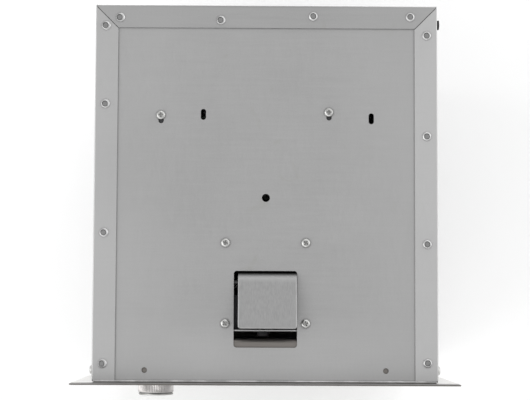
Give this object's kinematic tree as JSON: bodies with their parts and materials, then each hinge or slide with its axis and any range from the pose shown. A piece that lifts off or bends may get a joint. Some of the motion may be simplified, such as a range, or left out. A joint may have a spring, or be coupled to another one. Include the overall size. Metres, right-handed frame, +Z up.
{
  "type": "atm machine",
  "caption": "Compact through-the-wall cash machine: a riveted sheet steel cabinet behind a wide thin fascia, with a knurled dial, keypad, card reader, note outlet and a rear note cassette.",
  "frame": {"origin": "centre of the four anchor holes, in the underside of the base plate", "axes": "+Z up; the customer stands on the -Y side, facing +Y; +X is to the customer's right"},
  "size_m": [0.334, 0.364, 0.46],
  "materials": {
    "zinc_sheet": "zinc-plated sheet steel, satin, faintly mottled",
    "stainless_fascia": "stainless sheet, brushed upright",
    "rivet_aluminium": "bright blind rivets",
    "zinc_fastener": "bright zinc-plated steel",
    "black_screw": "blackened steel",
    "stainless_tongue": "satin spring plate with bright cut edges",
    "spring_steel": "drawn spring wire",
    "steel_bar": "ground steel bar",
    "circuit_board": "solder-masked board",
    "supply_case": "plain aluminium case",
    "screen_glass": "flat toughened glass",
    "display_case": "dark pressed steel",
    "cast_keypad": "cast and powder coated",
    "key_metal": "bead-blasted metal keys",
    "encoder_case": "black moulding",
    "knurled_aluminium": "knurled and turned, clear anodised",
    "black_moulding": "fine-textured black moulding",
    "reader_case": "plated case",
    "shutter_steel": "brushed plate",
    "roller_rubber": "grooved black rubber",
    "gear_plastic": "natural moulded gear",
    "motor_steel": "plated motor can",
    "pinion_brass": "cut brass",
    "cassette_plastic": "dark grey textured moulding",
    "pusher_plastic": "grey moulding",
    "paper": "white thermal paper",
    "lock_chrome": "chromed lock"
  },
  "bodies": {
    "root": {"left_side_panel": "zinc_sheet", "right_side_panel": "zinc_sheet", "back_panel": "zinc_sheet", "top_panel": "zinc_sheet", "base_plate": "zinc_sheet", "latch_bracket": "zinc_sheet", "board_bracket": "zinc_sheet", "shelf": "zinc_sheet", "dispenser_frame": "zinc_sheet", "printer_frame": "zinc_sheet", "door_hinge_leaves": "zinc_sheet", "fascia_plate": "stainless_fascia", "blind_rivets": "rivet_aluminium", "cabinet_screws": "zinc_fastener", "latch_pin": "zinc_fastener", "black_screws": "black_screw", "control_board": "circuit_board", "power_supply": "supply_case", "display_glass": "screen_glass", "display_module": "display_case", "keypad_housing": "cast_keypad", "encoder_body": "encoder_case", "card_reader_bezel": "black_moulding", "cash_bezel": "black_moulding", "receipt_bezel": "black_moulding", "fan_frame": "black_moulding", "mains_inlet": "black_moulding", "speaker": "black_moulding", "card_reader_body": "reader_case", "drive_motor": "motor_steel"},
    "latch_tongue": {"latch_tongue": "stainless_tongue", "latch_spring": "spring_steel"},
    "encoder_plunger": {"encoder_plunger": "encoder_case"},
    "selector_dial": {"selector_shaft": "steel_bar", "selector_knob": "knurled_aluminium"},
    "cash_shutter": {"cash_shutter": "shutter_steel"},
    "service_door": {"service_door": "zinc_sheet"},
    "door_lock": {"door_lock": "lock_chrome"},
    "cassette": {"cassette_body": "cassette_plastic"},
    "cassette_handle": {"cassette_handle": "steel_bar"},
    "note_pusher": {"note_pusher": "pusher_plastic"},
    "feed_shaft": {"feed_shaft": "steel_bar", "feed_rollers": "roller_rubber", "feed_gear": "gear_plastic"},
    "motor_pinion": {"motor_pinion": "pinion_brass"},
    "platen_roller": {"platen_roller": "roller_rubber"},
    "paper_roll": {"paper_roll": "paper"},
    "fan_rotor": {"fan_rotor": "black_moulding"},
    "key_1": {"key_1": "key_metal"},
    "key_2": {"key_2": "key_metal"},
    "key_3": {"key_3": "key_metal"},
    "key_4": {"key_4": "key_metal"},
    "key_5": {"key_5": "key_metal"},
    "key_6": {"key_6": "key_metal"},
    "key_7": {"key_7": "key_metal"},
    "key_8": {"key_8": "key_metal"},
    "key_9": {"key_9": "key_metal"},
    "key_cancel": {"key_cancel": "key_metal"},
    "key_0": {"key_0": "key_metal"},
    "key_enter": {"key_enter": "key_metal"}
  },
  "joints": [
    {"name": "key_1_press", "type": "slide", "parent": "root", "child": "key_1", "axis": [0, 1, 0], "range_m": [0, 0.0015], "stiffness_N_per_m": 400, "springref_m": -0.0008},
    {"name": "key_2_press", "type": "slide", "parent": "root", "child": "key_2", "axis": [0, 1, 0], "range_m": [0, 0.0015], "stiffness_N_per_m": 400, "springref_m": -0.0008},
    {"name": "key_3_press", "type": "slide", "parent": "root", "child": "key_3", "axis": [0, 1, 0], "range_m": [0, 0.0015], "stiffness_N_per_m": 400, "springref_m": -0.0008},
    {"name": "key_4_press", "type": "slide", "parent": "root", "child": "key_4", "axis": [0, 1, 0], "range_m": [0, 0.0015], "stiffness_N_per_m": 400, "springref_m": -0.0008},
    {"name": "key_5_press", "type": "slide", "parent": "root", "child": "key_5", "axis": [0, 1, 0], "range_m": [0, 0.0015], "stiffness_N_per_m": 400, "springref_m": -0.0008},
    {"name": "key_6_press", "type": "slide", "parent": "root", "child": "key_6", "axis": [0, 1, 0], "range_m": [0, 0.0015], "stiffness_N_per_m": 400, "springref_m": -0.0008},
    {"name": "key_7_press", "type": "slide", "parent": "root", "child": "key_7", "axis": [0, 1, 0], "range_m": [0, 0.0015], "stiffness_N_per_m": 400, "springref_m": -0.0008},
    {"name": "key_8_press", "type": "slide", "parent": "root", "child": "key_8", "axis": [0, 1, 0], "range_m": [0, 0.0015], "stiffness_N_per_m": 400, "springref_m": -0.0008},
    {"name": "key_9_press", "type": "slide", "parent": "root", "child": "key_9", "axis": [0, 1, 0], "range_m": [0, 0.0015], "stiffness_N_per_m": 400, "springref_m": -0.0008},
    {"name": "key_cancel_press", "type": "slide", "parent": "root", "child": "key_cancel", "axis": [0, 1, 0], "range_m": [0, 0.0015], "stiffness_N_per_m": 400, "springref_m": -0.0008},
    {"name": "key_0_press", "type": "slide", "parent": "root", "child": "key_0", "axis": [0, 1, 0], "range_m": [0, 0.0015], "stiffness_N_per_m": 400, "springref_m": -0.0008},
    {"name": "key_enter_press", "type": "slide", "parent": "root", "child": "key_enter", "axis": [0, 1, 0], "range_m": [0, 0.0015], "stiffness_N_per_m": 400, "springref_m": -0.0008},
    {"name": "dial_press", "type": "slide", "parent": "root", "child": "encoder_plunger", "axis": [0, 1, 0], "range_m": [0, 0.0005], "stiffness_N_per_m": 2000, "springref_m": -0.001},
    {"name": "dial_turn", "type": "hinge", "parent": "encoder_plunger", "child": "selector_dial", "pos_m": [-0.1085, -0.1662, 0.2], "axis": [0, 1, 0], "continuous": true},
    {"name": "shutter_slide", "type": "slide", "parent": "root", "child": "cash_shutter", "axis": [0, 0, 1], "range_m": [0, 0.028]},
    {"name": "tongue_hinge", "type": "hinge", "parent": "root", "child": "latch_tongue", "pos_m": [0, -0.0775, 0.409], "axis": [1, 0, 0], "range_deg": [0, 15], "stiffness_Nm_per_rad": 0.6, "springref_deg": -14.32},
    {"name": "door_hinge", "type": "hinge", "parent": "root", "child": "service_door", "pos_m": [-0.1375, 0.17, 0.229], "axis": [0, 0, 1], "range_deg": [0, 110]},
    {"name": "lock_turn", "type": "hinge", "parent": "service_door", "child": "door_lock", "pos_m": [0.112, 0.165, 0.229], "axis": [0, 1, 0], "range_deg": [0, 90]},
    {"name": "cassette_slide", "type": "slide", "parent": "root", "child": "cassette", "axis": [0, 1, 0], "range_m": [0, 0.22]},
    {"name": "handle_swing", "type": "hinge", "parent": "cassette", "child": "cassette_handle", "pos_m": [-0.05, 0.1724, 0.072], "axis": [1, 0, 0], "range_deg": [0, 100]},
    {"name": "pusher_slide", "type": "slide", "parent": "cassette", "child": "note_pusher", "axis": [0, 1, 0], "range_m": [0, 0.18], "stiffness_N_per_m": 20, "springref_m": -0.1},
    {"name": "feed_turn", "type": "hinge", "parent": "root", "child": "feed_shaft", "pos_m": [-0.05, -0.077, 0.088], "axis": [1, 0, 0], "continuous": true},
    {"name": "pinion_turn", "type": "hinge", "parent": "root", "child": "motor_pinion", "pos_m": [0.05, -0.09503, 0.06997], "axis": [1, 0, 0], "continuous": true},
    {"name": "paper_turn", "type": "hinge", "parent": "root", "child": "paper_roll", "pos_m": [0.1, -0.103, 0.1], "axis": [1, 0, 0], "continuous": true},
    {"name": "platen_turn", "type": "hinge", "parent": "root", "child": "platen_roller", "pos_m": [0.1, -0.145, 0.113], "axis": [1, 0, 0], "continuous": true},
    {"name": "fan_turn", "type": "hinge", "parent": "root", "child": "fan_rotor", "pos_m": [0.1, 0.15, 0.056], "axis": [0, 1, 0], "continuous": true}
  ],
  "couplings": [
    {"joint": "pinion_turn", "follows": "feed_turn", "ratio": -2.9231},
    {"joint": "platen_turn", "follows": "paper_turn", "ratio": -4.7273}
  ]
}
